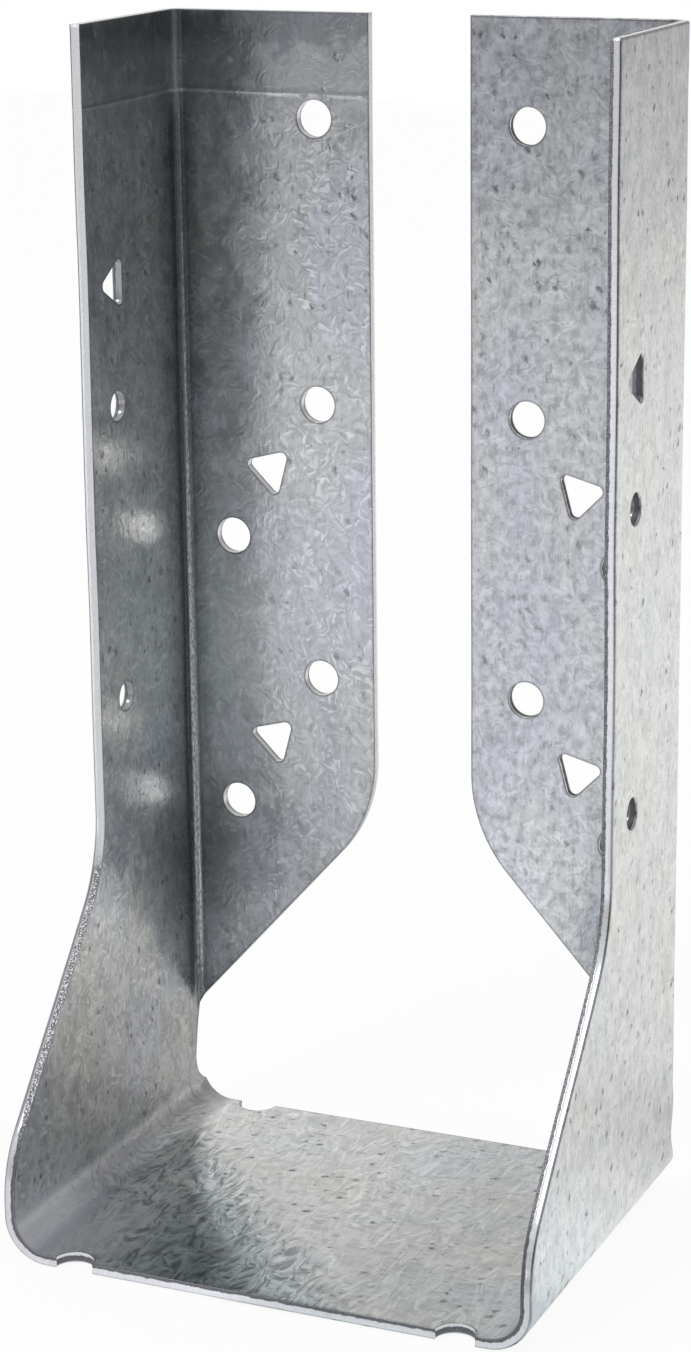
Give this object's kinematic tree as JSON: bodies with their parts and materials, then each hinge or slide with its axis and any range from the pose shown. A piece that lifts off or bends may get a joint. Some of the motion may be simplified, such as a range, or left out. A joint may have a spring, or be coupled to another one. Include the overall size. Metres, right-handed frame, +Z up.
{
  "type": "joist hanger",
  "caption": "Face-mount hanger for a doubled joist, with inward flanges, sloping side walls and a flat seat, folded from one galvanised steel sheet.",
  "frame": {"origin": "middle of the footprint, on the underside of the seat", "axes": "+X across the joist, +Y into the header that carries the hanger, +Z up along the side walls"},
  "size_m": [0.0828, 0.0636, 0.177],
  "materials": {
    "galvanised_steel": "hot-dip galvanised, fine feathery spangle, dull satin"
  },
  "bodies": {
    "root": {"hanger": "galvanised_steel"}
  },
  "joints": []
}
